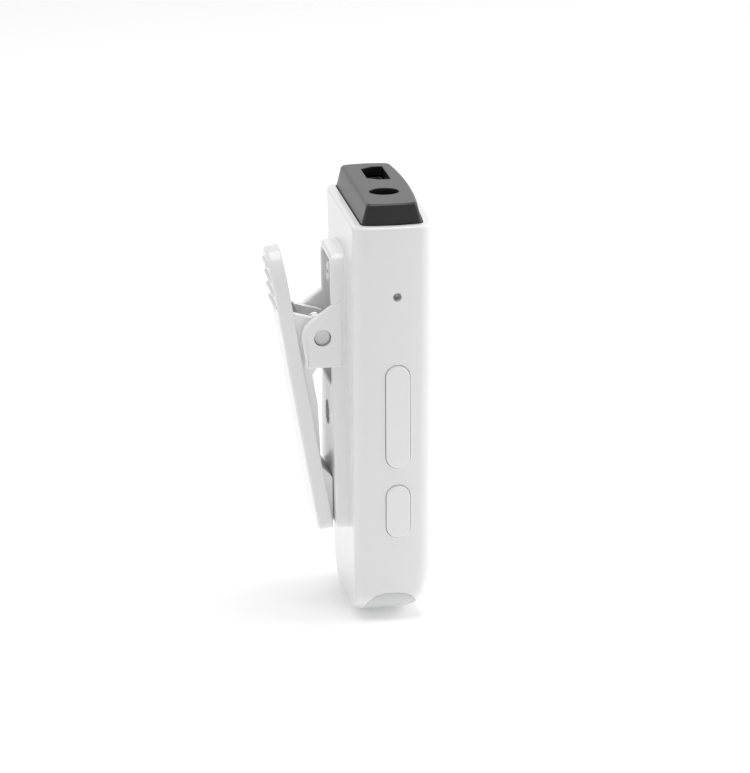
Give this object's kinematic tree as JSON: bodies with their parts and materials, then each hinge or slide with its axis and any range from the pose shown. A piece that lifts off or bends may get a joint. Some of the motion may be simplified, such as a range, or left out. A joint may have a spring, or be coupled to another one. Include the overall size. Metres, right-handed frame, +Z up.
{
  "type": "clip-on audio player",
  "caption": "Small clip-on digital audio player: a tapered white case with side keys, a dark end cap with charging and headphone sockets, and a sprung clip on its back.",
  "frame": {"origin": "on the flat bottom that the player stands on, midway across its width, below the middle of its thickness", "axes": "+Z up along the case, +Y out of the flat back towards the clip, -X out of the side that carries the keys"},
  "size_m": [0.0266, 0.0207, 0.0556],
  "materials": {
    "white_shell": "satin moulded",
    "charcoal_cap": "fine matt",
    "milky_window": "milky",
    "bright_steel": "bright",
    "board_green": "lacquered laminate",
    "chip_black": "matt moulded",
    "socket_black": "moulded",
    "cell_silver": "foil pouch",
    "soft_rubber": "soft",
    "mesh_grey": "woven",
    "foam_tape": "foam",
    "lead_red": "insulated wire",
    "lead_black": "insulated wire",
    "contact_brass": "plated",
    "ceramic_white": "ceramic"
  },
  "bodies": {
    "housing": {"case_shell": "white_shell", "clip_base": "white_shell", "top_cap": "charcoal_cap", "light_window": "milky_window", "clip_pin": "bright_steel", "clip_spring": "bright_steel", "clip_screw_upper": "bright_steel", "clip_screw_lower": "bright_steel", "rocker_pin": "bright_steel", "usb_socket": "bright_steel", "volume_up_switch": "bright_steel", "volume_down_switch": "bright_steel", "play_switch": "bright_steel", "microphone_capsule": "bright_steel", "radio_shield": "bright_steel", "crystal": "bright_steel", "circuit_board": "board_green", "battery_board": "board_green", "decoder_chip": "chip_black", "memory_chip": "chip_black", "charge_chip": "chip_black", "inductor": "chip_black", "usb_tongue": "socket_black", "jack_socket": "socket_black", "volume_up_stem": "socket_black", "volume_down_stem": "socket_black", "play_stem": "socket_black", "battery_cell": "cell_silver", "microphone_boot": "soft_rubber", "microphone_mesh": "mesh_grey", "battery_tape": "foam_tape", "positive_lead": "lead_red", "negative_lead": "lead_black", "jack_collar": "contact_brass", "jack_tip_contact": "contact_brass", "jack_sleeve_contact": "contact_brass", "chip_antenna": "ceramic_white", "status_led": "ceramic_white"},
    "lever": {"clip_lever": "white_shell"},
    "rocker": {"volume_rocker": "white_shell"},
    "button": {"play_button": "white_shell"}
  },
  "joints": [
    {"name": "clip_hinge", "type": "hinge", "parent": "housing", "child": "lever", "pos_m": [0, 0.0082, 0.0368], "axis": [1, 0, 0], "range_deg": [0, 24], "stiffness_Nm_per_rad": 0.05, "springref_deg": -68.75, "deforming": ["clip_spring"]},
    {"name": "volume_rock", "type": "hinge", "parent": "housing", "child": "rocker", "pos_m": [-0.00962, -0.0004, 0.02789], "axis": [0, 1, 0], "range_deg": [-1.3, 1.3], "stiffness_Nm_per_rad": 0.02},
    {"name": "play_press", "type": "slide", "parent": "housing", "child": "button", "axis": [0.9989, 0, 0.0472], "range_m": [0, 0.0003], "stiffness_N_per_m": 600}
  ]
}
